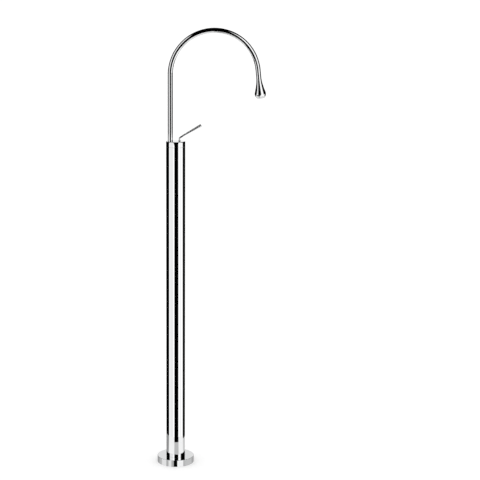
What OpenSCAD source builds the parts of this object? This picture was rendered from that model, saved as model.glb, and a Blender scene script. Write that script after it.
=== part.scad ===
// Floor-standing basin mixer: swan-neck spout and joystick lever on a round column.
// The column's axis is X = Y = 0, the floor is Z = 0, and the spout points along +X.

/* [Column] */
// Outside diameter of the column
column_d = 50; // [49.6:0.2:60]
// Wall of the column tube
column_wall = 1.5; // [1.2:0.1:1.6]
// Height of the joint between column and cap above the floor
column_top = 859.5; // [600:0.5:1000]
// Diameter of the flange that covers the floor fixing
flange_d = 98; // [96:1:130]
// Height of the flange
flange_h = 18; // [17:0.5:30]
// Side wall of the flange
flange_wall = 2.5; // [1.5:0.1:3]
// Thickness of the flange's top
flange_top = 3; // [2.8:0.1:3.4]

/* [Floor fixing] */
// Diameter of the floor plate
plate_d = 88; // [86:0.5:90]
// Thickness of the floor plate
plate_h = 6; // [5:0.5:7]
// Height of the plate's spigot inside the column
spigot_h = 40; // [38:1:70]
// Circle through the four floor screws
floor_pcd = 72; // [70:0.5:73]
// Diameter of each floor screw's hole
floor_hole_d = 6.6; // [5:0.1:7]
// Distance from the middle to each supply pipe
pipe_y = 12.5; // [12.2:0.1:12.8]
// Minor diameter of the G1/2 supply threads
inlet_d = 18.64; // [16:0.02:18.8]
// Depth of the supply threads
inlet_len = 12; // [10:0.5:13]
// Diameter of the column screws
column_screw_d = 4; // [3:0.5:4]
// Height of the column screws above the floor plate
column_screw_z = 4.5; // [4:0.1:4.6]

/* [Supply pipes] */
// Outside diameter of the copper pipes
pipe_d = 10; // [8:0.5:10]
// Wall of the copper pipes
pipe_wall = 1; // [0.8:0.1:1.5]
// Depth of the pipe sockets
pipe_socket = 14; // [12:0.5:15]
// Section of the pipes' sealing rings
pipe_seal_d = 1.8; // [1.4:0.1:2]
// Thickness of each spacer that keeps the pipes apart
spacer_h = 8; // [4:1:20]
// Height of the lower spacer's middle above the floor
spacer_low_z = 280; // [100:5:400]
// Height of the upper spacer's middle above the floor
spacer_high_z = 570; // [420:5:590]

/* [Head] */
// Depth of the mixer body below the column's joint line
body_drop = 47.5; // [46:0.5:60]
// Height of the mixer body above the joint line
boss_h = 11; // [10.8:0.1:11.2]
// Height of the cap
cap_h = 14.5; // [14:0.1:17]
// Thickness of the cap's top
cap_top_t = 3; // [2.6:0.1:3.1]
// Side wall of the cap
cap_wall = 1.8; // [1.6:0.05:2]
// Radius of the cap's rounded top edge
cap_round = 1.6; // [0.5:0.1:2]
// Thickness of the plate that carries the mixer body
carrier_plate_h = 6; // [4:0.5:10]
// Distance from the middle to each body screw
body_screw_r = 18.5; // [18:0.1:18.6]
// Angle of the body screws, from the spout's direction
body_screw_a = 115; // [112:1:118]
// Diameter of the body screws
body_screw_d = 4; // [3:0.5:4]

/* [Spout] */
// Outside diameter of the spout tube
tube_d = 13; // [12:0.1:13.4]
// Wall of the spout tube
tube_wall = 1; // [0.8:0.1:1.2]
// Distance of the riser behind the column's axis
riser_x = 14; // [13.8:0.1:14.4]
// Height of the arch's middle above the floor
arch_z = 1046.5; // [960:0.5:1400]
// Radius of the arch, to the tube's middle
arch_r = 113.5; // [90:0.5:200]
// Lean of the outlet leg away from upright
lean_a = 6; // [2:0.5:15]
// Length of the outlet's straight neck, from the arch to the flare
neck_len = 21; // [14:0.1:60]
// Swing of the spout to each side
spout_swing = 60; // [30:1:75]
// Outside diameter of the sleeve on the spout's foot
sleeve_d = 15; // [14.8:0.05:15.2]
// Length of the sleeve
sleeve_len = 28; // [27:0.5:30]
// Depth of the sleeve's counterbore for the tube
sleeve_cup = 9; // [6:0.5:9]

/* [Drop outlet] */
// Radius of the drop's round end
drop_r = 14.5; // [13:0.1:20]
// Angle at which the flare meets the round end
drop_blend_a = 18; // [12:1:24]
// Curve of the flare, where 1 is a plain cone
drop_curve = 1.6; // [1.3:0.1:2.2]
// Radius of the flat face around the outlet
drop_face_r = 8; // [8:0.1:9]
// Radius of the aerator's bore
aerator_r = 7.4; // [6:0.1:7.5]
// Depth of the aerator's bore
aerator_h = 14; // [12:0.5:16]

/* [Lever] */
// Distance of the lever's upright axis in front of the column's axis
lever_x = 9.8; // [9.5:0.05:9.9]
// Height of the lever's pin above the joint line
pin_up = 13; // [12.8:0.1:13.4]
// Diameter of the lever's pin
pin_d = 2.4; // [2:0.1:2.6]
// Diameter of the lever where it is thinnest
lever_d = 4.2; // [3.4:0.1:4.2]
// Diameter of the lever's tip
lever_tip_d = 7.5; // [5:0.1:9]
// Length of the lever's straight rising part
lever_len = 63; // [40:0.5:110]
// Angle of the rising part above level
lever_rise_a = 30; // [10:0.5:40]
// Length of the lever's upright foot above the pin
lever_foot = 8; // [8:0.5:20]
// Inside bend radius of the lever, to its middle
lever_bend_r = 4; // [3:0.5:10]
// Highest lift of the lever
lift_max = 20; // [10:1:22]
// Diameter of the round post that the lever hinges in
post_d = 8.2; // [8:0.1:8.6]

/* [Cartridge] */
// Diameter of the cartridge
cartridge_d = 22; // [21.8:0.1:22.2]
// Height of the cartridge's floor below the joint line
cartridge_drop = 12.5; // [12.4:0.1:13]
// Thickness of the cartridge's base
cartridge_base_h = 4; // [3.4:0.1:4.1]
// Thickness of each ceramic disc
disc_h = 3; // [2.6:0.1:3.1]
// Radius of the moving disc
disc_r = 7.1; // [6.6:0.1:7.2]
// Distance from the lever's pin down to the ball on its tail
tail_len = 11; // [10.8:0.1:11.4]
// Diameter of the ball on the lever's tail
ball_d = 3.8; // [3.4:0.1:3.9]
// Radius of each port through the discs
port_r = 1.9; // [1.4:0.1:2]

/* [Clearances] */
// Gap between parts that turn or slide in each other
run_gap = 0.05; // [0.03:0.01:0.06]
// Gap between parts that only fit together
fit_gap = 0.1; // [0.05:0.01:0.12]
// Gap around parts that pass through each other freely
free_gap = 0.2; // [0.15:0.01:0.25]
// Width of the small bevels that show as joint lines
edge = 0.45; // [0.1:0.05:0.5]

/* [Hidden] */
$fn = 96;
eps = 0.5;

column_r = column_d / 2;
column_in = column_r - column_wall;
tube_r = tube_d / 2;
tube_in = tube_r - tube_wall;
pipe_r = pipe_d / 2;

// Heights in the floor fixing
inlet_r = inlet_d / 2;
chamber_r = 7;
chamber_top = inlet_len + 17;
neck_r = 3.6;
neck_h = 3;
spigot_r = column_in - fit_gap;
spigot_top = plate_h + spigot_h;
pipe_low_z = max(chamber_top + neck_h, spigot_top - pipe_socket);
floor_seal_in = spigot_r + 1.6;
floor_seal_out = spigot_r + 3.2;
floor_groove_h = 1.2;
column_screw_r = column_screw_d / 2;
column_screw_spread = 25;
column_screw_head_r = column_screw_r * 1.9;
column_screw_head_h = column_screw_r * 1.05;
column_screw_depth = 8;
cover_in_z = flange_h - flange_top;

// Sealing rings: groove depth follows the ring's section
function groove_depth(section) = section * 0.9;
pipe_groove_r = pipe_r + groove_depth(pipe_seal_d);
pipe_groove_h = pipe_seal_d + 2 * fit_gap;
cover_hole_r = column_r + 0.3;
cover_seal_section = 1.4;

// Heights in the head
body_z = column_top - body_drop;
body_top = column_top + boss_h;
body_r = column_in - free_gap;
cap_in_r = column_r - cap_wall;
boss_r = cap_in_r - free_gap;
cap_top_z = column_top + cap_h;
cap_in_z = cap_top_z - cap_top_t;
pipe_high_z = body_z + pipe_socket;
pin_z = column_top + pin_up;
post_r = post_d / 2;
body_screw_rad = body_screw_d / 2;
body_screw_head_r = body_screw_rad * 1.75;
body_screw_head_h = body_screw_d;
body_screw_len = body_drop + boss_h + carrier_plate_h - body_screw_head_h - 1;
body_screw_turns = [body_screw_a, -body_screw_a];

// Cartridge, from its floor up
cart_r = cartridge_d / 2;
cart_bore_r = cart_r + fit_gap;
cart_z = column_top - cartridge_drop;
base_top = cart_z + cartridge_base_h;
fixed_top = base_top + disc_h;
moving_z = fixed_top + run_gap;
moving_top = moving_z + disc_h;
housing_wall = 1.7;
housing_in_r = cart_r - housing_wall;
fixed_disc_r = housing_in_r - fit_gap;
shoulder_z = cart_z + 17;
housing_top = cart_z + 21;
housing_lid = 1.8;
neck_wall = 0.7;
housing_neck_r = housing_in_r + neck_wall;
rotor_neck_r = 7;
rotor_lid_z = housing_top - housing_lid;
rotor_flange_top = rotor_lid_z - free_gap;
rotor_flange_z = rotor_flange_top - 2.4;
rotor_flange_r = housing_in_r - 0.3;
rotor_neck_top = housing_top + 1.8;
post_top = cap_top_z + 1.5;
nut_in_r = housing_neck_r + free_gap;
nut_r = cart_r + 0.9;
nut_bore_r = nut_r + fit_gap;
nut_z = shoulder_z + fit_gap;
nut_top = body_top - 1;

// The disc rests off centre by half its travel
disc_travel = tail_len * lift_max * PI / 180;
disc_x = lever_x - disc_travel / 2;
carrier_r = disc_r - 0.3;
carrier_h = 3;
carrier_top = moving_top + carrier_h;
carrier_boss_top = rotor_flange_z - free_gap - 0.3;
ball_r = ball_d / 2;
ball_z = pin_z - tail_len;
ball_hole_r = ball_r + 0.15;
ball_floor = ball_z - ball_r - 0.6;
rib_in = ball_hole_r + 1.5 + run_gap;
rib_t = 1.4;
tongue_t = 2 * ball_r + 0.8;
tongue_gap = 0.08;
tongue_r = post_r - 0.2;
tail_r = ball_r - 0.4;
slot_half = tongue_t / 2 + tongue_gap;
slot_back = tail_r + 0.6;
slot_front = tail_r / cos(lift_max) + (pin_z - rotor_flange_z + 1) * tan(lift_max) + 0.3;
inlet_port_x = 3;
inlet_port_y = 4.5;
outlet_port_x = -4.5;
pocket_x = -1.2;
pocket_r = 3.6;
pocket_h = 1.4;
port_seal_section = 1.2;
port_seal_r = port_r + 0.75;
port_seat_r = port_seal_r + port_seal_section / 2 + fit_gap;
port_seat_h = port_seal_section - 0.1;
port_offsets = [[inlet_port_x, inlet_port_y], [inlet_port_x, -inlet_port_y], [outlet_port_x, 0]];

// Water passages in the mixer body
cross_z = cart_z - 15;
cross_r = 3;
drop_passage_r = 2.4;
slant_r = 2.2;
plug_r = 4;
plug_x = lever_x + outlet_port_x + drop_passage_r + 6;
plug_len = body_r - plug_x - 1;

// Spout bearing
sleeve_r = sleeve_d / 2;
socket_r = sleeve_r + run_gap;
socket_floor = cross_z - cross_r - 2;
sleeve_top = body_top - 4.5;
sleeve_z = sleeve_top - sleeve_len;
tube_z = sleeve_top - sleeve_cup + 0.1;
sleeve_bore_r = 5;
ring_section = 1.2;
ring_groove_r = sleeve_r - ring_section;
ring_groove_h = 1.8;
ring_zs = [sleeve_z + 2.5, sleeve_z + 7];
stop_z = sleeve_z + 14;
stop_tip_r = 1.5;
stop_tip_y = ring_groove_r + 0.3;
stop_r = 2.5;
stop_body_y = socket_r + 1.6;
stop_side_x = riser_x + stop_r;
stop_end_y = sqrt(body_r * body_r - stop_side_x * stop_side_x) - free_gap;
stop_span = spout_swing + asin(stop_tip_r / stop_tip_y) + 1;
glide_z = sleeve_z + 16.6;
glide_h = 2;
glide_depth = 0.9;
guide_r = sleeve_r + 0.9;
guide_in_r = tube_r + run_gap;
guide_z = body_top;
guide_top = cap_in_z + 1.5;
cap_spout_r = tube_r + fit_gap;
cap_post_r = post_r + free_gap;
lever_seal_section = 1.1;
lever_seal_z = (cap_in_z + cap_top_z) / 2;
cap_seal_section = 0.9;
cap_seal_z = column_top + 3.2;
cap_groove_r = boss_r + cap_seal_section + fit_gap;

// Arch and outlet leg
arch_x = arch_r - riser_x;
arch_end = [arch_x + arch_r * cos(lean_a), arch_z + arch_r * sin(lean_a)];
sweep_a = 180 - lean_a;

// Drop outlet, measured down the leg from the tube's end
blend_r = drop_r * cos(drop_blend_a);
flare_len = drop_curve * (blend_r - tube_r) / tan(drop_blend_a);
drop_middle = flare_len + drop_r * sin(drop_blend_a);
drop_len = drop_middle + sqrt(drop_r * drop_r - drop_face_r * drop_face_r);
face_a = acos(drop_face_r / drop_r);
flare_steps = 12;
round_steps = 12;
nipple_up = 3;
nipple_down = 10;
nipple_wall = 1.2;
nipple_r = tube_in - fit_gap;
braze_gap = 0.02;
drop_bore_r = nipple_r - nipple_wall;
seal_t = 1.8;
insert_z = drop_len - aerator_h + seal_t;
insert_end = drop_len - 1.4;
insert_r = aerator_r - fit_gap;
screen_t = 0.8;

// Lever
rod_r = lever_d / 2;
tip_r = lever_tip_d / 2;
bend_a = 90 - lever_rise_a;
bend_x = lever_x + lever_bend_r;
bend_z = pin_z + lever_foot;
tang_r = pin_d / 2 + 0.05;
tang_z = pin_z + pin_d / 2 + 0.5;
tang_top = pin_z + tongue_r - 0.3;
tip_round = 1.2;
arm_root = 0.3;
arm_step = 0.03;

// One closed ring of round section
module o_ring(middle_r, section) {
  rotate_extrude() translate([middle_r, 0]) circle(d = section, $fn = 32);
}

// A ring between two radii, standing on z
module tube_piece(outer, inner, z, h) {
  translate([0, 0, z]) difference() {
    cylinder(r = outer, h = h);
    translate([0, 0, -1]) cylinder(r = inner, h = h + 2);
  }
}

// A turned ring whose outer edges are bevelled, with a true bore
module bevelled(outer, z, h, low, high) {
  translate([0, 0, z]) rotate_extrude() polygon([
    [0, 0], [outer - low, 0], [outer, low], [outer, h - high], [outer - high, h], [0, h]
  ]);
}

// A round hole or rod from one point to another
module rod_between(a, b, r) {
  d = b - a;
  translate(a) rotate([0, acos(d[2] / norm(d)), atan2(d[1], d[0])]) cylinder(r = r, h = norm(d));
}

module at_lever() {
  translate([lever_x, 0, 0]) children();
}

module at_spout() {
  translate([-riser_x, 0, 0]) children();
}

module at_pipe(side) {
  translate([0, side * pipe_y, 0]) children();
}

// The outlet leg's frame: its +Z runs down the leg from the end of the arch
module at_leg(down = 0) {
  translate([arch_end[0], 0, arch_end[1]]) rotate([0, 180 - lean_a, 0])
    translate([0, 0, down]) children();
}

module column_screw_places() {
  for (side = [0, 180])
    for (turn = [-1, 1])
      rotate(side + turn * column_screw_spread)
        translate([0, 0, plate_h + column_screw_z]) rotate([0, 90, 0]) children();
}

// Floor fixing
module floor_plate() {
  color("silver") difference() {
    union() {
      cylinder(d = plate_d, h = plate_h);
      cylinder(r = spigot_r, h = spigot_top);
    }
    for (side = [-1, 1]) at_pipe(side) {
      translate([0, 0, -1]) cylinder(r = inlet_r, h = inlet_len + 1);
      translate([0, 0, inlet_len - eps]) cylinder(r = chamber_r, h = chamber_top - inlet_len + eps);
      translate([0, 0, chamber_top - eps]) cylinder(r = neck_r, h = spigot_top - chamber_top);
      translate([0, 0, pipe_low_z]) cylinder(r = pipe_r + fit_gap, h = spigot_top);
      translate([0, 0, pipe_low_z + pipe_socket / 2 - pipe_groove_h / 2])
        cylinder(r = pipe_groove_r, h = pipe_groove_h);
    }
    for (turn = [45 : 90 : 315]) rotate(turn)
      translate([floor_pcd / 2, 0, -1]) cylinder(d = floor_hole_d, h = plate_h + 2);
    column_screw_places() translate([0, 0, spigot_r - column_screw_depth - 1])
      cylinder(r = column_screw_r, h = column_screw_depth + 5);
    tube_piece(floor_seal_out + free_gap, floor_seal_in - free_gap, -1, 1 + floor_groove_h);
  }
}

module floor_seal() {
  color("dimgray") tube_piece(floor_seal_out, floor_seal_in, fit_gap, floor_groove_h - free_gap);
}

module cover_flange() {
  color("gainsboro") difference() {
    bevelled(flange_d / 2, 0, flange_h, edge, edge);
    translate([0, 0, -1]) cylinder(r = flange_d / 2 - flange_wall, h = cover_in_z + 1);
    cylinder(r = cover_hole_r, h = flange_h + 1);
    translate([0, 0, flange_h - flange_top / 2 - cover_seal_section / 2 - fit_gap])
      cylinder(r = column_r + cover_seal_section + 2 * fit_gap, h = cover_seal_section + 2 * fit_gap);
  }
}

module cover_seal_ring() {
  color("dimgray") translate([0, 0, flange_h - flange_top / 2])
    o_ring(column_r + fit_gap + cover_seal_section / 2, cover_seal_section);
}

module column_tube() {
  color("gainsboro") difference() {
    bevelled(column_r, plate_h, column_top - plate_h, edge, edge);
    translate([0, 0, plate_h - 1]) cylinder(r = column_in, h = column_top);
    column_screw_places() cylinder(r = column_screw_r + free_gap, h = column_d);
  }
}

module column_screws() {
  color("silver") column_screw_places() {
    translate([0, 0, spigot_r - column_screw_depth])
      cylinder(r = column_screw_r - run_gap, h = column_r - spigot_r + column_screw_depth + eps);
    translate([0, 0, column_r + fit_gap]) difference() {
      cylinder(r = column_screw_head_r, h = column_screw_head_h);
      translate([0, 0, column_screw_head_h / 2]) cylinder(r = column_screw_r * 0.7, h = 4, $fn = 6);
    }
  }
}

// Strainer cup behind each supply thread
module strainer(side) {
  rim = chamber_r - fit_gap;
  color("white") at_pipe(side) translate([0, 0, inlet_len + 0.2]) difference() {
    cylinder(r = rim, h = 3);
    translate([0, 0, 0.8]) cylinder(r = rim - 0.8, h = 3);
    translate([0, 0, -1]) {
      cylinder(r = 0.6, h = 3);
      for (ring = [1, 2])
        for (turn = [0 : 60 / ring : 359]) rotate(turn)
          translate([ring * 2.3, 0, 0]) cylinder(r = 0.6, h = 3);
    }
  }
}

module hot_strainer() {
  strainer(1);
}

module cold_strainer() {
  strainer(-1);
}

// Non-return valve: a housing with its seat ring and a poppet inside
module check_valve(side, shade) {
  low = inlet_len + 3.4;
  high = chamber_top - 0.2;
  shell = chamber_r - fit_gap;
  color(shade) at_pipe(side) {
    difference() {
      translate([0, 0, low]) cylinder(r = shell, h = high - low);
      translate([0, 0, low - 1]) cylinder(r = 3.4, h = 4);
      translate([0, 0, low + 3 - eps]) cylinder(r = shell - 1.2, h = high - low);
    }
    translate([0, 0, low + 3]) cylinder(r = shell - 2, h = 1.6);
    translate([0, 0, low + 4.5]) cylinder(r = 1.2, h = 6);
  }
}

module hot_check_valve() {
  check_valve(1, "tomato");
}

module cold_check_valve() {
  check_valve(-1, "royalblue");
}

module pipe_seals(z) {
  color("dimgray") for (side = [-1, 1]) at_pipe(side) translate([0, 0, z])
    o_ring((pipe_r + pipe_groove_r) / 2, groove_depth(pipe_seal_d) - 0.06);
}

module lower_pipe_seals() {
  pipe_seals(pipe_low_z + pipe_socket / 2);
}

module upper_pipe_seals() {
  pipe_seals(body_z + pipe_socket / 2);
}

module pipe(side) {
  color("peru") at_pipe(side)
    tube_piece(pipe_r, pipe_r - pipe_wall, pipe_low_z + fit_gap, pipe_high_z - pipe_low_z - 1 - fit_gap);
}

module hot_pipe() {
  pipe(1);
}

module cold_pipe() {
  pipe(-1);
}

// A disc with two through holes that clips round both pipes
module pipe_spacer(z) {
  color("white") translate([0, 0, z - spacer_h / 2]) difference() {
    cylinder(r = column_in - free_gap, h = spacer_h);
    for (side = [-1, 1]) at_pipe(side)
      translate([0, 0, -1]) cylinder(r = pipe_r + fit_gap, h = spacer_h + 2);
    for (side = [-1, 1]) translate([side * column_in * 0.62, 0, -1])
      cylinder(r = column_in * 0.24, h = spacer_h + 2);
  }
}

module pipe_spacer_lower() {
  pipe_spacer(spacer_low_z);
}

module pipe_spacer_upper() {
  pipe_spacer(spacer_high_z);
}

// Head
module body_screw_places() {
  for (turn = body_screw_turns) rotate(turn) translate([body_screw_r, 0, 0]) children();
}

module column_top_plate() {
  color("goldenrod") difference() {
    translate([0, 0, body_z - carrier_plate_h]) cylinder(r = column_in - fit_gap, h = carrier_plate_h);
    for (side = [-1, 1]) at_pipe(side)
      translate([0, 0, body_z - carrier_plate_h - 1])
        cylinder(r = pipe_r + free_gap, h = carrier_plate_h + 2);
    body_screw_places() translate([0, 0, body_z - carrier_plate_h - 1])
      cylinder(r = body_screw_rad, h = carrier_plate_h + 2);
  }
}

module mixer_body() {
  color("goldenrod") difference() {
    union() {
      translate([0, 0, body_z]) cylinder(r = body_r, h = body_drop);
      translate([0, 0, column_top - eps]) cylinder(r = boss_r, h = boss_h + eps);
    }
    // Spout socket
    at_spout() translate([0, 0, socket_floor]) cylinder(r = socket_r, h = body_drop + boss_h);
    // Cartridge bore and the nut's thread
    at_lever() {
      translate([0, 0, cart_z]) cylinder(r = cart_bore_r, h = body_drop);
      translate([0, 0, shoulder_z]) cylinder(r = nut_bore_r, h = body_drop);
      translate([outlet_port_x, 0, cross_z]) cylinder(r = drop_passage_r, h = cart_z - cross_z + eps);
    }
    // Pipe sockets and the slanted passages up to the cartridge
    for (side = [-1, 1]) {
      at_pipe(side) translate([0, 0, body_z - 1]) cylinder(r = pipe_r + fit_gap, h = pipe_socket + 1);
      at_pipe(side) translate([0, 0, body_z + pipe_socket / 2 - pipe_groove_h / 2])
        cylinder(r = pipe_groove_r, h = pipe_groove_h);
      rod_between(
        [0, side * pipe_y, pipe_high_z - 1],
        [lever_x + inlet_port_x, side * inlet_port_y, cart_z + eps],
        slant_r
      );
    }
    // Cross passage from the cartridge to the spout, drilled from the front and plugged
    translate([-riser_x, 0, cross_z]) rotate([0, 90, 0]) cylinder(r = cross_r, h = riser_x + plug_x + eps);
    translate([plug_x, 0, cross_z]) rotate([0, 90, 0]) cylinder(r = plug_r, h = body_r);
    // Stop screw
    translate([-riser_x, 0, stop_z]) rotate([-90, 0, 0]) cylinder(r = stop_r + run_gap, h = body_r);
    body_screw_places() {
      translate([0, 0, body_z - 1]) cylinder(r = body_screw_rad + free_gap, h = body_drop + boss_h + 2);
      translate([0, 0, body_top - body_screw_head_h - fit_gap])
        cylinder(r = body_screw_head_r + fit_gap, h = body_screw_head_h + 1);
    }
  }
}

module body_screws() {
  color("silver") body_screw_places() {
    translate([0, 0, body_z - carrier_plate_h + 1])
      cylinder(r = body_screw_rad - run_gap, h = body_screw_len);
    translate([0, 0, body_top - body_screw_head_h - fit_gap + run_gap]) difference() {
      cylinder(r = body_screw_head_r, h = body_screw_head_h);
      translate([0, 0, body_screw_head_h / 2]) cylinder(r = body_screw_rad * 0.8, h = 4, $fn = 6);
    }
  }
}

module passage_plug() {
  color("goldenrod") translate([plug_x + 0.3, 0, cross_z]) rotate([0, 90, 0]) difference() {
    cylinder(r = plug_r - run_gap, h = plug_len);
    translate([0, 0, plug_len - 3]) cylinder(r = plug_r * 0.5, h = 4, $fn = 6);
  }
}

module top_cap() {
  color("gainsboro") difference() {
    translate([0, 0, column_top]) rotate_extrude() polygon(concat(
      [[0, 0], [column_r - edge, 0], [column_r, edge]],
      [for (a = [0 : 15 : 90]) [column_r - cap_round + cap_round * cos(a), cap_h - cap_round + cap_round * sin(a)]],
      [[0, cap_h]]
    ));
    translate([0, 0, column_top - 1]) cylinder(r = cap_in_r, h = cap_in_z - column_top + 1);
    translate([0, 0, cap_seal_z - cap_seal_section / 2 - fit_gap])
      cylinder(r = cap_groove_r, h = cap_seal_section + 2 * fit_gap);
    at_spout() {
      translate([0, 0, cap_in_z - eps])
        cylinder(r = guide_r + fit_gap, h = guide_top - cap_in_z + eps + fit_gap);
      translate([0, 0, cap_in_z]) cylinder(r = cap_spout_r, h = cap_top_t + 1);
    }
    at_lever() {
      translate([0, 0, cap_in_z - eps]) cylinder(r = cap_post_r, h = cap_top_t + 2);
      translate([0, 0, lever_seal_z - lever_seal_section / 2 - fit_gap])
        cylinder(r = post_r + lever_seal_section + 2 * fit_gap, h = lever_seal_section + 2 * fit_gap);
    }
  }
}

module cap_seal_ring() {
  color("dimgray") translate([0, 0, cap_seal_z]) o_ring((boss_r + cap_groove_r) / 2, cap_seal_section);
}

module lever_seal_ring() {
  color("dimgray") at_lever() translate([0, 0, lever_seal_z])
    o_ring(post_r + fit_gap + lever_seal_section / 2, lever_seal_section);
}

module spout_guide_ring() {
  color("white") at_spout() tube_piece(guide_r, guide_in_r, guide_z, guide_top - guide_z);
}

module spout_stop_screw() {
  color("silver") translate([-riser_x, 0, stop_z]) rotate([-90, 0, 0]) difference() {
    union() {
      translate([0, 0, stop_tip_y]) cylinder(r = stop_tip_r, h = stop_body_y - stop_tip_y + eps);
      translate([0, 0, stop_body_y]) cylinder(r = stop_r, h = stop_end_y - stop_body_y);
    }
    translate([0, 0, stop_end_y - 2.5]) cylinder(r = stop_r * 0.5, h = 4, $fn = 6);
  }
}

// Cartridge
module cartridge_base() {
  color("ivory") at_lever() difference() {
    translate([0, 0, cart_z]) cylinder(r = cart_r, h = cartridge_base_h);
    for (p = port_offsets) translate([p[0], p[1], 0]) {
      translate([0, 0, cart_z - 1]) cylinder(r = port_r, h = cartridge_base_h + 2);
      translate([0, 0, cart_z - 1]) cylinder(r = port_seat_r, h = port_seat_h + 1);
    }
  }
}

module port_seals() {
  color("dimgray") at_lever() for (p = port_offsets)
    translate([p[0], p[1], cart_z + port_seat_h / 2])
      o_ring(port_seal_r, port_seat_h - 0.06);
}

module fixed_disc() {
  color("white") at_lever() difference() {
    translate([0, 0, base_top]) cylinder(r = fixed_disc_r, h = disc_h);
    for (p = port_offsets) translate([p[0], p[1], base_top - 1]) cylinder(r = port_r, h = disc_h + 2);
  }
}

module moving_disc() {
  color("white") translate([disc_x, 0, 0]) difference() {
    translate([0, 0, moving_z]) cylinder(r = disc_r, h = disc_h);
    translate([pocket_x, 0, moving_z - 1]) cylinder(r = pocket_r, h = pocket_h + 1);
  }
}

module disc_carrier() {
  color("ivory") difference() {
    union() {
      translate([disc_x, 0, moving_top]) cylinder(r = carrier_r, h = carrier_h);
      translate([lever_x - rib_in - 0.6, run_gap - rib_in, carrier_top - eps])
        cube([2 * rib_in + 1.2, 2 * (rib_in - run_gap), carrier_boss_top - carrier_top + eps]);
    }
    translate([lever_x, 0, ball_floor]) cylinder(r = ball_hole_r, h = 20);
  }
}

module cartridge_housing() {
  color("ivory") at_lever() difference() {
    union() {
      translate([0, 0, base_top]) cylinder(r = cart_r, h = shoulder_z - base_top);
      translate([0, 0, shoulder_z - eps]) cylinder(r = housing_neck_r, h = housing_top - shoulder_z + eps);
    }
    translate([0, 0, base_top - 1]) cylinder(r = housing_in_r, h = rotor_lid_z - base_top + 1);
    translate([0, 0, rotor_lid_z - 1]) cylinder(r = rotor_neck_r + free_gap, h = housing_lid + 2);
  }
}

module cartridge_nut() {
  color("goldenrod") at_lever() difference() {
    translate([0, 0, nut_z]) cylinder(r = nut_r - run_gap, h = nut_top - nut_z);
    translate([0, 0, nut_z - 1]) cylinder(r = nut_in_r, h = nut_top);
    for (turn = [0 : 90 : 270]) rotate(turn)
      translate([nut_in_r - 1, -1.2, nut_top - 2]) cube([4, 2.4, 4]);
  }
}

// The rotor turns for temperature, and its forked post carries the lever
module cartridge_rotor() {
  dome = 1;
  color("gainsboro") at_lever() difference() {
    union() {
      translate([0, 0, rotor_flange_z]) cylinder(r = rotor_flange_r, h = rotor_flange_top - rotor_flange_z);
      translate([0, 0, rotor_flange_top - eps])
        cylinder(r = rotor_neck_r, h = rotor_neck_top - rotor_flange_top + eps);
      translate([0, 0, rotor_neck_top - eps]) rotate_extrude() polygon(concat(
        [[0, 0], [post_r, 0]],
        [for (a = [0 : 15 : 90])
          [post_r - dome + dome * cos(a), post_top - rotor_neck_top + eps - dome + dome * sin(a)]],
        [[0, post_top - rotor_neck_top + eps]]
      ));
      for (side = [-1, 1])
        translate([-rotor_neck_r + 1.5, side * (rib_in + rib_t / 2) - rib_t / 2, carrier_top + 0.4])
          cube([2 * rotor_neck_r - 3, rib_t, rotor_flange_z - carrier_top]);
    }
    // Slot for the lever's tail, then the wider fork for its tongue
    translate([-slot_back, -slot_half, rotor_flange_z - 1])
      cube([slot_back + slot_front, 2 * slot_half, rotor_neck_top - rotor_flange_z + 1]);
    translate([-2 * post_r, -slot_half, pin_z - tongue_r - 0.3]) cube([4 * post_r, 2 * slot_half, 20]);
    translate([0, 0, pin_z]) rotate([90, 0, 0]) translate([0, 0, -post_r - 1])
      cylinder(r = pin_d / 2 + run_gap / 2, h = 2 * post_r + 2);
  }
}

module lever_pin() {
  color("silver") translate([lever_x, 0, pin_z]) rotate([90, 0, 0])
    translate([0, 0, 0.3 - post_r]) cylinder(r = pin_d / 2, h = 2 * post_r - 0.6);
}

// Lever: its hub is a ball with two flat cheeks, so it stays inside the post at every lift
module lever_hub() {
  color("gainsboro") at_lever() difference() {
    union() {
      translate([0, 0, pin_z]) intersection() {
        sphere(r = tongue_r);
        cube([2 * post_r, tongue_t, 2 * post_r], center = true);
      }
      translate([0, 0, ball_z]) cylinder(r = tail_r, h = tail_len - tongue_r / 2);
      translate([0, 0, ball_z]) sphere(r = ball_r);
    }
    translate([0, 0, pin_z]) rotate([90, 0, 0]) translate([0, 0, -tongue_t])
      cylinder(r = pin_d / 2 + run_gap, h = 2 * tongue_t);
    translate([0, 0, tang_z]) cylinder(r = tang_r, h = 10);
    translate([-post_r, -post_r, tang_top]) cube([2 * post_r, 2 * post_r, 5]);
  }
}

// The rod's rising part: a slim cone with a rounded end, whose root sits a little inside the bend
module lever_arm() {
  rotate_extrude() polygon(concat(
    [[0, -arm_root], [rod_r - arm_step, -arm_root]],
    [for (a = [0 : 15 : 90])
      [tip_r - tip_round + tip_round * cos(a), lever_len - tip_round + tip_round * sin(a)]],
    [[0, lever_len]]
  ));
}

module lever_rod() {
  color("gainsboro") {
    at_lever() {
      translate([0, 0, tang_z + 0.1]) cylinder(r = tang_r - run_gap, h = tang_top - tang_z + eps);
      translate([0, 0, tang_top + run_gap]) cylinder(r = rod_r, h = bend_z - tang_top - run_gap);
    }
    translate([bend_x, 0, bend_z]) rotate([90, 0, 0]) rotate([0, 0, 180])
      rotate_extrude(angle = -bend_a) translate([lever_bend_r, 0]) circle(r = rod_r, $fn = 48);
    translate([bend_x - lever_bend_r * cos(bend_a), 0, bend_z + lever_bend_r * sin(bend_a)])
      rotate([0, bend_a, 0]) lever_arm();
  }
}

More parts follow.
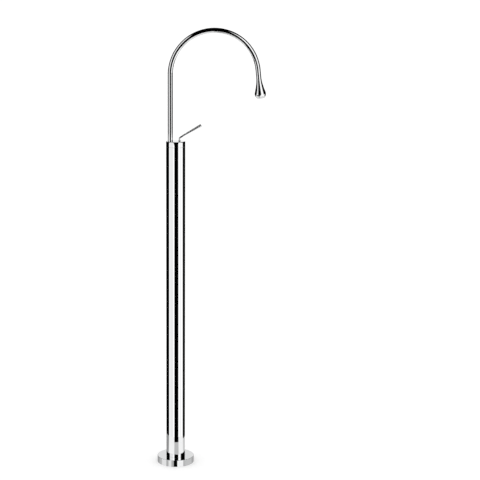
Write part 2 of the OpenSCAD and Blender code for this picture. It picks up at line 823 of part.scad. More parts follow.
// Spout: the riser and the arch are one bent tube
module spout_tube() {
  color("gainsboro") {
    at_spout() tube_piece(tube_r, tube_in, tube_z, arch_z - tube_z);
    translate([arch_x, 0, arch_z]) rotate([90, 0, 0]) rotate([0, 0, 180])
      rotate_extrude(angle = -sweep_a) translate([arch_r, 0]) difference() {
        circle(r = tube_r, $fn = 64);
        circle(r = tube_in, $fn = 64);
      }
  }
}

module spout_sleeve() {
  color("goldenrod") at_spout() difference() {
    translate([0, 0, sleeve_z]) cylinder(r = sleeve_r, h = sleeve_len);
    translate([0, 0, sleeve_z - 1]) cylinder(r = sleeve_bore_r, h = sleeve_len);
    translate([0, 0, sleeve_top - sleeve_cup]) cylinder(r = tube_r + run_gap, h = sleeve_cup + 1);
    for (z = ring_zs)
      tube_piece(sleeve_r + 1, ring_groove_r, z - ring_groove_h / 2, ring_groove_h);
    tube_piece(sleeve_r + 1, sleeve_r - glide_depth, glide_z - glide_h / 2, glide_h);
    translate([0, 0, stop_z]) rotate(90 - stop_span) rotate_extrude(angle = 2 * stop_span)
      translate([ring_groove_r, -stop_tip_r - fit_gap])
        square([ring_section + 1, 2 * (stop_tip_r + fit_gap)]);
  }
}

module spout_seal_rings() {
  color("dimgray") at_spout() for (z = ring_zs) translate([0, 0, z])
    o_ring((socket_r + ring_groove_r) / 2, socket_r - ring_groove_r - 0.06);
}

module spout_glide_ring() {
  color("white") at_spout()
    tube_piece(socket_r - 0.02, sleeve_r - glide_depth + 0.02, glide_z - glide_h / 2 + 0.05, glide_h - 0.1);
}

// Outlet
module outlet_nipple() {
  color("goldenrod") at_leg() tube_piece(nipple_r, drop_bore_r, -nipple_up, nipple_up + nipple_down);
}

function flare_r(t) = tube_r + (blend_r - tube_r) * pow(t, drop_curve);

module drop_outlet() {
  joint = braze_gap - neck_len;
  color("gainsboro") at_leg(neck_len) difference() {
    rotate_extrude() polygon(concat(
      [[0, joint], [tube_r, joint]],
      [for (i = [0 : flare_steps]) [flare_r(i / flare_steps), flare_len * i / flare_steps]],
      [for (i = [1 : round_steps])
        let (a = -drop_blend_a + (face_a + drop_blend_a) * i / round_steps)
        [drop_r * cos(a), drop_middle + drop_r * sin(a)]],
      [[0, drop_len]]
    ));
    translate([0, 0, joint - 1]) cylinder(r = nipple_r + run_gap, h = nipple_down + 1 + fit_gap);
    translate([0, 0, joint]) cylinder(r = drop_bore_r, h = drop_len + neck_len);
    translate([0, 0, drop_len - aerator_h]) cylinder(r = aerator_r, h = aerator_h + 1);
  }
}

module aerator_seal() {
  color("dimgray") at_leg(neck_len)
    tube_piece(insert_r - 0.1, drop_bore_r + 0.4, drop_len - aerator_h + 0.1, seal_t - 0.2);
}

module aerator_insert() {
  color("white") at_leg(neck_len) difference() {
    translate([0, 0, insert_z]) cylinder(r = insert_r, h = insert_end - insert_z);
    translate([0, 0, insert_z + 2]) cylinder(r = insert_r - 1, h = aerator_h);
    for (turn = [0 : 45 : 315]) rotate(turn)
      translate([insert_r * 0.5, 0, insert_z - 1]) cylinder(r = 0.9, h = 4);
  }
}

module aerator_screen() {
  pitch = 2;
  color("silver") at_leg(neck_len) difference() {
    translate([0, 0, insert_end + 0.1]) cylinder(r = insert_r, h = screen_t);
    for (ring = [1 : 3])
      for (turn = [0 : 60 / ring : 359]) rotate(turn)
        translate([ring * pitch * insert_r / 7.3, 0, insert_end - 1]) cylinder(r = 0.55, h = 4);
    translate([0, 0, insert_end - 1]) cylinder(r = 0.55, h = 4);
  }
}

floor_plate();
floor_seal();
cover_flange();
cover_seal_ring();
column_tube();
column_screws();
hot_strainer();
cold_strainer();
hot_check_valve();
cold_check_valve();
lower_pipe_seals();
upper_pipe_seals();
hot_pipe();
cold_pipe();
pipe_spacer_lower();
pipe_spacer_upper();
column_top_plate();
mixer_body();
body_screws();
passage_plug();
cartridge_base();
port_seals();
fixed_disc();
cartridge_housing();
cartridge_nut();
top_cap();
cap_seal_ring();
lever_seal_ring();
spout_guide_ring();
spout_stop_screw();
cartridge_rotor();
lever_pin();
lever_hub();
lever_rod();
moving_disc();
disc_carrier();
spout_tube();
spout_sleeve();
spout_seal_rings();
spout_glide_ring();
outlet_nipple();
drop_outlet();
aerator_seal();
aerator_insert();
aerator_screen();
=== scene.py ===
import bmesh
import bpy
from math import acos, cos, degrees, pi, radians, sin, sqrt, tan
from mathutils import Matrix, Vector


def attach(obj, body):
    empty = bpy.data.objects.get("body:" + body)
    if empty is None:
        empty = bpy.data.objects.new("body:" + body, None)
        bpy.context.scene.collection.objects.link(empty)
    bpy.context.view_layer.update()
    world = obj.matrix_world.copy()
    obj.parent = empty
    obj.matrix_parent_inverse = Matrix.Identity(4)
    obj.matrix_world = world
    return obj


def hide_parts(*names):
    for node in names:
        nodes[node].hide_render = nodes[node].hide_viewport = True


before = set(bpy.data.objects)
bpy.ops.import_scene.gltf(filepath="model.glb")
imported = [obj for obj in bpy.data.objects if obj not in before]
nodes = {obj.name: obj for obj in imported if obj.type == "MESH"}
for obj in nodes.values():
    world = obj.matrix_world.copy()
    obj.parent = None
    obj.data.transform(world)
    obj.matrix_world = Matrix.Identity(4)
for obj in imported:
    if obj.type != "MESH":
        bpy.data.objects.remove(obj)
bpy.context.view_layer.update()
MM = 0.001


# Floor fixing. The real mixer stands on a turned stainless plate, screwed to the floor through
# four holes, with a spigot that the column slips over and four small screws that hold it there.
# All of it is machined from bar, so it keeps fine turning rings and small handling marks.
def link(tree, source, target):
    tree.links.new(source, target)


def add_node(tree, kind, **settings):
    node = tree.nodes.new(kind)
    for name, value in settings.items():
        setattr(node, name, value)
    return node


def effect_group(name, inputs, outputs):
    group = bpy.data.node_groups.new(name, "ShaderNodeTree")
    for socket, value in inputs.items():
        made = group.interface.new_socket(socket, in_out="INPUT", socket_type="NodeSocketFloat")
        made.default_value = value
    group.interface.new_socket("Place", in_out="INPUT", socket_type="NodeSocketVector")
    for socket in outputs:
        group.interface.new_socket(socket, in_out="OUTPUT", socket_type="NodeSocketFloat")
    entry = add_node(group, "NodeGroupInput")
    leave = add_node(group, "NodeGroupOutput")
    return group, entry, leave


def handling_marks_group():
    """Cloudy patches left by hands and wiping, as a mask from 0 to 1."""
    group, entry, leave = effect_group("handling_marks", {"Scale": 20.0, "Contrast": 0.5}, ["Mask"])
    cloud = add_node(group, "ShaderNodeTexNoise")
    cloud.inputs["Detail"].default_value = 5.0
    cloud.inputs["Roughness"].default_value = 0.62
    spread = add_node(group, "ShaderNodeMapRange", interpolation_type="SMOOTHSTEP")
    low = add_node(group, "ShaderNodeMath", operation="SUBTRACT")
    high = add_node(group, "ShaderNodeMath", operation="ADD")
    low.inputs[0].default_value = 0.5
    high.inputs[0].default_value = 0.5
    link(group, entry.outputs["Place"], cloud.inputs["Vector"])
    link(group, entry.outputs["Scale"], cloud.inputs["Scale"])
    link(group, entry.outputs["Contrast"], low.inputs[1])
    link(group, entry.outputs["Contrast"], high.inputs[1])
    link(group, cloud.outputs["Fac"], spread.inputs["Value"])
    link(group, low.outputs[0], spread.inputs["From Min"])
    link(group, high.outputs[0], spread.inputs["From Max"])
    link(group, spread.outputs["Result"], leave.inputs["Mask"])
    return group


def turning_rings_group():
    """Fine rings round an upright axis, as a lathe tool leaves them, as a height from 0 to 1."""
    group, entry, leave = effect_group("turning_rings", {"Pitch": 3000.0}, ["Height"])
    split = add_node(group, "ShaderNodeSeparateXYZ")
    flat = add_node(group, "ShaderNodeCombineXYZ")
    radius = add_node(group, "ShaderNodeVectorMath", operation="LENGTH")
    along = add_node(group, "ShaderNodeMath", operation="ADD")
    ring = add_node(group, "ShaderNodeTexNoise", noise_dimensions="1D")
    ring.inputs["Detail"].default_value = 3.0
    link(group, entry.outputs["Place"], split.inputs[0])
    link(group, split.outputs["X"], flat.inputs["X"])
    link(group, split.outputs["Y"], flat.inputs["Y"])
    link(group, flat.outputs[0], radius.inputs[0])
    link(group, radius.outputs["Value"], along.inputs[0])
    link(group, split.outputs["Z"], along.inputs[1])
    link(group, along.outputs[0], ring.inputs["W"])
    link(group, entry.outputs["Pitch"], ring.inputs["Scale"])
    link(group, ring.outputs["Fac"], leave.inputs["Height"])
    return group


handling_marks = handling_marks_group()
turning_rings = turning_rings_group()


def use_group(tree, group, place, **values):
    node = add_node(tree, "ShaderNodeGroup", node_tree=group)
    link(tree, place, node.inputs["Place"])
    for name, value in values.items():
        node.inputs[name].default_value = value
    return node


def new_finish(name, **shader):
    """A material with one shader, and the place on the object that its pattern is read from."""
    finish = bpy.data.materials.new(name)
    finish.use_nodes = True
    tree = finish.node_tree
    tree.nodes.clear()
    surface = add_node(tree, "ShaderNodeBsdfPrincipled")
    out = add_node(tree, "ShaderNodeOutputMaterial")
    link(tree, surface.outputs[0], out.inputs["Surface"])
    for socket, value in shader.items():
        surface.inputs[socket.replace("_", " ")].default_value = value
    place = add_node(tree, "ShaderNodeTexCoord").outputs["Object"]
    return finish, tree, surface, place


def spread(tree, mask, low, high):
    """A value that runs from low to high as the mask runs from 0 to 1."""
    node = add_node(tree, "ShaderNodeMapRange")
    node.inputs["To Min"].default_value = low
    node.inputs["To Max"].default_value = high
    link(tree, mask, node.inputs["Value"])
    return node.outputs["Result"]


def tinted(tree, mask, plain, marked):
    """A colour that runs from plain to marked as the mask runs from 0 to 1."""
    node = add_node(tree, "ShaderNodeMix", data_type="RGBA")
    link(tree, mask, node.inputs["Factor"])
    node.inputs["A"].default_value = (*plain, 1)
    node.inputs["B"].default_value = (*marked, 1)
    return node.outputs["Result"]


def bumped(tree, height, surface, strength, distance):
    node = add_node(tree, "ShaderNodeBump")
    node.inputs["Strength"].default_value = strength
    node.inputs["Distance"].default_value = distance
    link(tree, height, node.inputs["Height"])
    link(tree, node.outputs["Normal"], surface.inputs["Normal"])


def centred(tree, place, x):
    """The place measured from an upright axis at x."""
    node = add_node(tree, "ShaderNodeMapping")
    node.inputs["Location"].default_value = (-x, 0, 0)
    link(tree, place, node.inputs["Vector"])
    return node.outputs["Vector"]


def machined_finish(name, plain, marked, axis_x=0.0, low=0.2, high=0.34, pitch=2600.0):
    """Turned metal: rings round its own axis, and patches where it was handled."""
    finish, tree, surface, place = new_finish(name, Metallic=1.0)
    middle = centred(tree, place, axis_x)
    marks = use_group(tree, handling_marks, place, Scale=60.0, Contrast=0.3)
    rings = use_group(tree, turning_rings, middle, Pitch=pitch)
    link(tree, tinted(tree, marks.outputs["Mask"], plain, marked), surface.inputs["Base Color"])
    link(tree, spread(tree, marks.outputs["Mask"], low, high), surface.inputs["Roughness"])
    bumped(tree, rings.outputs["Height"], surface, 0.25, 0.02 * MM)
    return finish


def finish_nodes(finish, *names):
    for name in names:
        for material_slot in nodes[name].material_slots:
            material_slot.material = finish


stainless = machined_finish("turned_stainless", (0.62, 0.61, 0.59), (0.54, 0.53, 0.51))
finish_nodes(
    stainless, "floor_plate", "column_screws", "body_screws", "spout_stop_screw", "lever_pin"
)


# Seals. Every joint that holds water or keeps it out has a moulded black rubber ring pressed into
# a turned groove. The rubber is matt, with a faint grain and a dusting of talc.
def rubber_finish(name, plain, dusted):
    finish, tree, surface, place = new_finish(name)
    talc = use_group(tree, handling_marks, place, Scale=90.0, Contrast=0.22)
    grain = add_node(tree, "ShaderNodeTexNoise")
    grain.inputs["Scale"].default_value = 4000.0
    link(tree, place, grain.inputs["Vector"])
    link(tree, tinted(tree, talc.outputs["Mask"], plain, dusted), surface.inputs["Base Color"])
    link(tree, spread(tree, talc.outputs["Mask"], 0.55, 0.8), surface.inputs["Roughness"])
    bumped(tree, grain.outputs["Fac"], surface, 0.3, 0.03 * MM)
    return finish


sealing_rubber = rubber_finish("sealing_rubber", (0.02, 0.02, 0.02), (0.06, 0.06, 0.058))
finish_nodes(
    sealing_rubber, "floor_seal", "cover_seal_ring", "lower_pipe_seals", "upper_pipe_seals",
    "port_seals", "cap_seal_ring", "lever_seal_ring", "spout_seal_rings", "aerator_seal"
)


# Water inlets. Behind each floor thread sits a moulded strainer cup and a non-return valve, and
# two drawn copper pipes lead up the column, kept apart by two moulded discs.
def moulded_finish(name, plain, marked, low=0.32, high=0.5):
    finish, tree, surface, place = new_finish(name, IOR=1.5)
    flow = use_group(tree, handling_marks, place, Scale=45.0, Contrast=0.28)
    grain = add_node(tree, "ShaderNodeTexNoise")
    grain.inputs["Scale"].default_value = 2500.0
    link(tree, place, grain.inputs["Vector"])
    link(tree, tinted(tree, flow.outputs["Mask"], plain, marked), surface.inputs["Base Color"])
    link(tree, spread(tree, flow.outputs["Mask"], low, high), surface.inputs["Roughness"])
    bumped(tree, grain.outputs["Fac"], surface, 0.2, 0.02 * MM)
    return finish


def copper_finish(name):
    finish, tree, surface, place = new_finish(name, Metallic=1.0)
    bloom = use_group(tree, handling_marks, place, Scale=25.0, Contrast=0.2)
    drawn = add_node(tree, "ShaderNodeMapping")
    drawn.inputs["Scale"].default_value = (900, 900, 12)
    lines = add_node(tree, "ShaderNodeTexNoise")
    lines.inputs["Scale"].default_value = 3.0
    link(tree, place, drawn.inputs["Vector"])
    link(tree, drawn.outputs["Vector"], lines.inputs["Vector"])
    link(tree, tinted(tree, bloom.outputs["Mask"], (0.80, 0.43, 0.29), (0.55, 0.30, 0.20)),
         surface.inputs["Base Color"])
    link(tree, spread(tree, bloom.outputs["Mask"], 0.24, 0.45), surface.inputs["Roughness"])
    bumped(tree, lines.outputs["Fac"], surface, 0.25, 0.02 * MM)
    return finish


natural_plastic = moulded_finish("natural_plastic", (0.80, 0.78, 0.72), (0.74, 0.72, 0.66))
finish_nodes(
    natural_plastic, "hot_strainer", "cold_strainer", "pipe_spacer_lower", "pipe_spacer_upper",
    "spout_guide_ring", "spout_glide_ring"
)
hot_plastic = moulded_finish("hot_plastic", (0.62, 0.09, 0.06), (0.52, 0.08, 0.06))
finish_nodes(hot_plastic, "hot_check_valve")
cold_plastic = moulded_finish("cold_plastic", (0.06, 0.16, 0.50), (0.05, 0.13, 0.42))
finish_nodes(cold_plastic, "cold_check_valve")
finish_nodes(copper_finish("drawn_copper"), "hot_pipe", "cold_pipe")


# Cover flange. A turned brass ring, polished and chrome plated, that slides down the column and
# hides the floor plate. A rubber ring in its bore grips the column and keeps water out.
def chrome_finish(name, axis_x=0.0):
    """Polished chrome plate: a mirror with a faint haze where it is wiped, and no visible grain."""
    finish, tree, surface, place = new_finish(name, Metallic=1.0)
    wiped = use_group(tree, handling_marks, place, Scale=30.0, Contrast=0.3)
    polish = use_group(tree, turning_rings, centred(tree, place, axis_x), Pitch=1800.0)
    link(tree, tinted(tree, wiped.outputs["Mask"], (0.945, 0.95, 0.955), (0.925, 0.93, 0.935)),
         surface.inputs["Base Color"])
    link(tree, spread(tree, wiped.outputs["Mask"], 0.015, 0.03), surface.inputs["Roughness"])
    bumped(tree, polish.outputs["Height"], surface, 0.01, 0.002 * MM)
    return finish


def outline(points, closed=False):
    """A bmesh with one wire through the points, which are pairs of radius and height in mm."""
    wire = bmesh.new()
    corners = [wire.verts.new((radius * MM, 0, height * MM)) for radius, height in points]
    for start, end in zip(corners, corners[1:]):
        wire.edges.new((start, end))
    if closed:
        wire.edges.new((corners[-1], corners[0]))
    return wire


def round_corners(wire, radius, corners, segments=6):
    """Rounds the wire's corners that lie at the given pairs of radius and height in mm."""
    places = [Vector((r * MM, 0, z * MM)) for r, z in corners]
    chosen = [v for v in wire.verts if any((v.co - place).length < 1e-6 for place in places)]
    bmesh.ops.bevel(
        wire, geom=chosen, offset=radius * MM, offset_type="OFFSET", segments=segments,
        profile=0.5, affect="VERTICES", material=-1
    )


def turn(wire, steps):
    """Spins the wire once round the upright axis, and closes what meets on it."""
    bmesh.ops.spin(
        wire, geom=wire.verts[:] + wire.edges[:], cent=(0, 0, 0), axis=(0, 0, 1),
        dvec=(0, 0, 0), angle=2 * pi, steps=steps, use_merge=True
    )
    bmesh.ops.remove_doubles(wire, verts=wire.verts, dist=1e-6)
    bmesh.ops.recalc_face_normals(wire, faces=wire.faces)


def finished_piece(name, shape, finish, sharp=35):
    """Makes the bmesh an object with smooth faces, sharp corners and even shading."""
    mesh = bpy.data.meshes.new(name)
    shape.to_mesh(mesh)
    shape.free()
    mesh.materials.append(finish)
    mesh.shade_smooth()
    mesh.set_sharp_from_angle(angle=radians(sharp))
    piece = bpy.data.objects.new(name, mesh)
    bpy.context.scene.collection.objects.link(piece)
    even = piece.modifiers.new("even_shading", "WEIGHTED_NORMAL")
    even.keep_sharp = True
    return piece


def dress(piece, body, slot, *replaced):
    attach(piece, body)
    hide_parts(*replaced)


column_r = 25.0
flange_r = 49.0
flange_h = 18.0
flange_wall = 2.5
flange_top = 3.0
flange_bore_r = column_r + 0.3
flange_edge = 0.45
bore_edge = 0.2
under_top = flange_h - flange_top
seal_groove_z = under_top + 0.7
seal_groove_top = seal_groove_z + 1.6
seal_groove_r = flange_bore_r + 1.3
wide_steps = 288
column_chrome = chrome_finish("column_chrome")

cover_flange = outline([
    (flange_bore_r, flange_h), (flange_r, flange_h), (flange_r, 0), (flange_r - flange_wall, 0),
    (flange_r - flange_wall, under_top), (flange_bore_r, under_top),
    (flange_bore_r, seal_groove_z), (seal_groove_r, seal_groove_z),
    (seal_groove_r, seal_groove_top), (flange_bore_r, seal_groove_top)
], closed=True)
round_corners(cover_flange, flange_edge, [(flange_r, flange_h), (flange_r, 0)])
round_corners(cover_flange, bore_edge, [(flange_bore_r, flange_h)], segments=3)
turn(cover_flange, wide_steps)
dress(
    finished_piece("turned_cover_flange", cover_flange, column_chrome),
    "column", "chrome", "cover_flange"
)


# Column. A drawn brass tube, polished and chrome plated, that slips over the plate's spigot and
# is held by four short screws under the flange. Its two ends are turned with a small bevel.
column_in = 23.5
column_foot = 6.0
column_top = 859.5
joint_edge = 0.45
screw_z = 10.5
screw_hole_r = 2.2
screw_spread = 25
screw_hole_len = 6


def drill(shape, middle, direction, radius, depth):
    """Adds a closed round cutter, sized in mm, that runs both ways from its middle."""
    way = Vector(direction).normalized()
    turned = Vector((0, 0, 1)).rotation_difference(way).to_matrix().to_4x4()
    bmesh.ops.create_cone(
        shape, cap_ends=True, cap_tris=False, segments=48, radius1=radius * MM, radius2=radius * MM,
        depth=depth * MM, matrix=Matrix.Translation(Vector(middle) * MM) @ turned
    )


def cut_away(shape, cutters):
    """The bmesh less the cutters, which are a bmesh of closed forms."""
    held = []
    for name, part in (("uncut", shape), ("cutters", cutters)):
        mesh = bpy.data.meshes.new(name)
        part.to_mesh(mesh)
        part.free()
        held.append(bpy.data.objects.new(name, mesh))
        bpy.context.scene.collection.objects.link(held[-1])
    uncut, tools = held
    cut = uncut.modifiers.new("cut", "BOOLEAN")
    cut.operation = "DIFFERENCE"
    cut.solver = "EXACT"
    cut.object = tools
    done = bmesh.new()
    done.from_object(uncut, bpy.context.evaluated_depsgraph_get())
    for used in held:
        mesh = used.data
        bpy.data.objects.remove(used)
        bpy.data.meshes.remove(mesh)
    return done


column_tube = outline([
    (column_r, column_foot), (column_r, column_top),
    (column_in, column_top), (column_in, column_foot)
], closed=True)
round_corners(
    column_tube, joint_edge, [(column_r, column_foot), (column_r, column_top)], segments=4
)
turn(column_tube, wide_steps)
screw_holes = bmesh.new()
for side in (0, 180):
    for lean in (-screw_spread, screw_spread):
        turned = radians(side + lean)
        direction = (cos(turned), sin(turned), 0)
        wall_middle = [(column_r + column_in) / 2 * way for way in direction[:2]] + [screw_z]
        drill(screw_holes, wall_middle, direction, screw_hole_r, screw_hole_len)
column_tube = cut_away(column_tube, screw_holes)
dress(
    finished_piece("drawn_column_tube", column_tube, column_chrome),
    "column", "chrome", "column_tube"
)


# Head. Inside the top of the column a machined brass body carries the cartridge and the spout's
# socket. It is screwed down to a brass plate, and its cross passage is closed by a brass plug.
clean_brass = (0.78, 0.60, 0.33)
handled_brass = (0.68, 0.51, 0.27)
head_brass = machined_finish("machined_brass", clean_brass, handled_brass)
finish_nodes(
    head_brass, "mixer_body", "column_top_plate", "passage_plug", "spout_sleeve", "outlet_nipple"
)


# Cartridge. Two lapped ceramic discs in a moulded housing open and mix the water, and a slotted
# brass ring nut holds the housing down in the body.
def ceramic_finish(name):
    finish, tree, surface, place = new_finish(name, Coat_Weight=0.3, Coat_Roughness=0.08)
    lapped = use_group(tree, handling_marks, place, Scale=120.0, Contrast=0.25)
    link(tree, tinted(tree, lapped.outputs["Mask"], (0.86, 0.86, 0.83), (0.82, 0.82, 0.79)),
         surface.inputs["Base Color"])
    link(tree, spread(tree, lapped.outputs["Mask"], 0.12, 0.22), surface.inputs["Roughness"])
    bumped(tree, lapped.outputs["Mask"], surface, 0.05, 0.01 * MM)
    return finish


lever_x = 9.8
finish_nodes(ceramic_finish("lapped_ceramic"), "fixed_disc", "moving_disc")
cartridge_plastic = moulded_finish(
    "cartridge_plastic", (0.83, 0.80, 0.70), (0.78, 0.75, 0.65), low=0.28, high=0.42
)
finish_nodes(cartridge_plastic, "cartridge_base", "cartridge_housing", "disc_carrier")
nut_brass = machined_finish("nut_brass", clean_brass, handled_brass, axis_x=lever_x * MM)
finish_nodes(nut_brass, "cartridge_nut")


# Cap. A turned brass cup, polished and chrome plated, that closes the column. The spout rises
# through a hole at the back of its top, and the lever's post through a smaller one at the front.
cap_h = 14.5
cap_in_r = 23.2
cap_top_t = 3.0
cap_top = column_top + cap_h
cap_round = 1.6
riser_x = 14.0
spout_hole_r = 6.6
post_hole_r = 4.3
hole_edge = 0.15

cap_in_top = cap_top - cap_top_t
groove_r = 24.0
groove_low = column_top + 2.65
groove_high = column_top + 3.75
guide_seat_r = 8.5
guide_seat_top = cap_in_top + 1.6
post_groove_r = 5.4
post_groove_low = column_top + 12.35
post_groove_high = column_top + 13.65
cut_low = cap_in_top - 2
cut_high = cap_top + 2


def bore(points, axis_x, steps):
    """A closed turned cutter on an upright axis, set half a step round."""
    cutter = outline(points)
    turn(cutter, steps=steps)
    placed = Matrix.Translation((axis_x * MM, 0, 0)) @ Matrix.Rotation(pi / steps, 4, "Z")
    bmesh.ops.transform(cutter, matrix=placed, verts=cutter.verts)
    return cutter


top_cap = outline([
    (0, cap_top), (column_r, cap_top), (column_r, column_top), (cap_in_r, column_top),
    (cap_in_r, groove_low), (groove_r, groove_low), (groove_r, groove_high),
    (cap_in_r, groove_high), (cap_in_r, cap_in_top), (0, cap_in_top)
])
round_corners(top_cap, cap_round, [(column_r, cap_top)], segments=10)
round_corners(top_cap, joint_edge, [(column_r, column_top)], segments=4)
turn(top_cap, wide_steps)
top_cap = cut_away(top_cap, bore([
    (0, cut_low), (guide_seat_r, cut_low), (guide_seat_r, guide_seat_top),
    (spout_hole_r, guide_seat_top), (spout_hole_r, cut_high), (0, cut_high)
], -riser_x, 128))
top_cap = cut_away(top_cap, bore([
    (0, cut_low), (post_hole_r, cut_low), (post_hole_r, post_groove_low),
    (post_groove_r, post_groove_low), (post_groove_r, post_groove_high),
    (post_hole_r, post_groove_high), (post_hole_r, cut_high), (0, cut_high)
], lever_x, 96))


def near_hole(corner, hole_x, hole_r):
    """Whether a corner lies on the hole's edge in the cap's top face."""
    flat = Vector((corner.co.x - hole_x * MM, corner.co.y))
    return abs(flat.length - hole_r * MM) < 0.02 * MM and abs(corner.co.z - cap_top * MM) < 1e-6


for hole_x, hole_r in ((-riser_x, spout_hole_r), (lever_x, post_hole_r)):
    rim = [e for e in top_cap.edges if all(near_hole(v, hole_x, hole_r) for v in e.verts)]
    bmesh.ops.bevel(
        top_cap, geom=rim, offset=hole_edge * MM, offset_type="OFFSET", segments=2,
        profile=0.5, affect="EDGES", material=-1
    )
dress(finished_piece("turned_top_cap", top_cap, column_chrome), "column", "chrome", "top_cap")


# Lever. The forked post turns with the cartridge, and a ball hub with two flat cheeks is pinned
# in its fork. The thin rod is screwed into the hub, bent forward and swells towards its tip. All
# three are turned from brass and chrome plated.
lever_chrome = chrome_finish("lever_chrome", axis_x=lever_x * MM)
finish_nodes(lever_chrome, "cartridge_rotor", "lever_hub")

pin_z = column_top + 13.0
rod_r = 2.1
tang_r = 1.2
tang_z = pin_z + 1.8
tang_top = pin_z + 3.6
bend_z = pin_z + 8.0
bend_r = 4.0
rise_a = radians(30)
bend_a = pi / 2 - rise_a
arm_len = 63.0
tip_r = 3.75
tip_round = 1.2


def grow(shape, ring, move):
    """Extrudes a closed ring of edges and moves its new end. Returns the new ring of edges."""
    new = bmesh.ops.extrude_edge_only(shape, edges=ring)["geom"]
    corners = [part for part in new if isinstance(part, bmesh.types.BMVert)]
    bmesh.ops.transform(shape, matrix=move, verts=corners)
    return [part for part in new if isinstance(part, bmesh.types.BMEdge)]


def swell(middle, direction, factor):
    """A matrix that scales about a point, across a direction."""
    here = Matrix.Translation(middle)
    across = Matrix.Identity(3) * factor
    way = Vector(direction).normalized()
    along = Matrix([[way[i] * way[j] for j in range(3)] for i in range(3)])
    return here @ (across + along * (1 - factor)).to_4x4() @ here.inverted()


def along_way(direction, length):
    return Matrix.Translation(Vector(direction) * length)


lever_rod = bmesh.new()
upright = Vector((0, 0, 1))
foot = Vector((lever_x, 0, tang_z)) * MM
bmesh.ops.create_circle(
    lever_rod, cap_ends=True, segments=64, radius=tang_r * MM, matrix=Matrix.Translation(foot)
)
ring = [e for e in lever_rod.edges if len(e.link_faces) == 1]
ring = grow(lever_rod, ring, along_way(upright, (tang_top - tang_z) * MM))
shoulder = Vector((lever_x, 0, tang_top)) * MM
ring = grow(lever_rod, ring, swell(shoulder, upright, rod_r / tang_r))
ring = grow(lever_rod, ring, along_way(upright, (bend_z - tang_top) * MM))
bend_steps = 24
bend_middle = Vector((lever_x + bend_r, 0, bend_z)) * MM
bend_turn = (
    Matrix.Translation(bend_middle)
    @ Matrix.Rotation(bend_a / bend_steps, 4, "Y")
    @ Matrix.Translation(-bend_middle)
)
for step in range(bend_steps):
    ring = grow(lever_rod, ring, bend_turn)
arm_way = Vector((cos(rise_a), 0, sin(rise_a)))
arm_start = bend_middle + Vector((-cos(bend_a), 0, sin(bend_a))) * bend_r * MM
swell_end = arm_len - tip_round
arm_swell = swell(arm_start + arm_way * swell_end * MM, arm_way, tip_r / rod_r)
ring = grow(lever_rod, ring, arm_swell @ along_way(arm_way, swell_end * MM))
round_steps = 6
radius, reach = tip_r, swell_end
for step in range(1, round_steps + 1):
    turned = step / round_steps * pi / 2
    new_radius = tip_r - tip_round + tip_round * cos(turned)
    new_reach = swell_end + tip_round * sin(turned)
    shrink = swell(arm_start + arm_way * new_reach * MM, arm_way, new_radius / radius)
    ring = grow(lever_rod, ring, shrink @ along_way(arm_way, (new_reach - reach) * MM))
    radius, reach = new_radius, new_reach
bmesh.ops.edgeloop_fill(lever_rod, edges=ring)
bmesh.ops.recalc_face_normals(lever_rod, faces=lever_rod.faces)
dress(finished_piece("bent_lever_rod", lever_rod, lever_chrome), "lever", "chrome", "lever_rod")


# Spout. One length of brass tube, bent to a half round and plated. Its foot is brazed into a
# sleeve that turns in the body, and its other end leans a little outwards.
tube_r = 6.5
tube_in = 5.5
tube_z = 857.1
arch_z = 1046.5
arch_r = 113.5
arch_x = arch_r - riser_x
lean_a = radians(6)
arch_steps = 174
riser_steps = 8
spout_chrome = chrome_finish("spout_chrome", axis_x=-riser_x * MM)

arch_middle = Vector((arch_x, 0, arch_z)) * MM
arch_turn = (
    Matrix.Translation(arch_middle)
    @ Matrix.Rotation((pi - lean_a) / arch_steps, 4, "Y")
    @ Matrix.Translation(-arch_middle)
)
leg_end = Vector((arch_x + arch_r * cos(lean_a), 0, arch_z + arch_r * sin(lean_a)))
leg_way = Vector((sin(lean_a), 0, -cos(lean_a)))

# The mesh runs from the foot up inside the tube, over its far end, and back down outside.
spout_tube = bmesh.new()
spout_foot = Vector((-riser_x, 0, tube_z)) * MM
bmesh.ops.create_circle(
    spout_tube, segments=96, radius=tube_r * MM, matrix=Matrix.Translation(spout_foot)
)
ring = grow(spout_tube, spout_tube.edges[:], swell(spout_foot, upright, tube_in / tube_r))
riser_step = along_way(upright, (arch_z - tube_z) * MM / riser_steps)
tube_path = [riser_step] * riser_steps + [arch_turn] * arch_steps
for move in tube_path:
    ring = grow(spout_tube, ring, move)
ring = grow(spout_tube, ring, swell(leg_end * MM, leg_way, tube_r / tube_in))
for move in reversed(tube_path):
    ring = grow(spout_tube, ring, move.inverted())
bmesh.ops.remove_doubles(spout_tube, verts=spout_tube.verts, dist=1e-5)
bmesh.ops.recalc_face_normals(spout_tube, faces=spout_tube.faces)
dress(finished_piece("bent_spout_tube", spout_tube, spout_chrome), "spout", "chrome", "spout_tube")


# Drop outlet. Turned from brass, chrome plated and brazed to the end of the tube. Its straight
# neck swells into a drop with a round end, and a flat face there holds the screwed-in aerator.
neck_len = 21.0
drop_r = 14.5
drop_blend_a = radians(18)
drop_curve = 1.6
drop_face_r = 8.0
aerator_r = 7.4
aerator_h = 14.0
braze_gap = 0.02
nipple_r = 5.45
nipple_down = 10.1
drop_bore_r = 4.2
drop_edge = 0.25
blend_r = drop_r * cos(drop_blend_a)
flare_len = drop_curve * (blend_r - tube_r) / tan(drop_blend_a)
drop_middle = flare_len + drop_r * sin(drop_blend_a)
drop_len = drop_middle + sqrt(drop_r**2 - drop_face_r**2)
face_a = acos(drop_face_r / drop_r)
flare_steps = 40
round_end_steps = 40
joint = braze_gap - neck_len

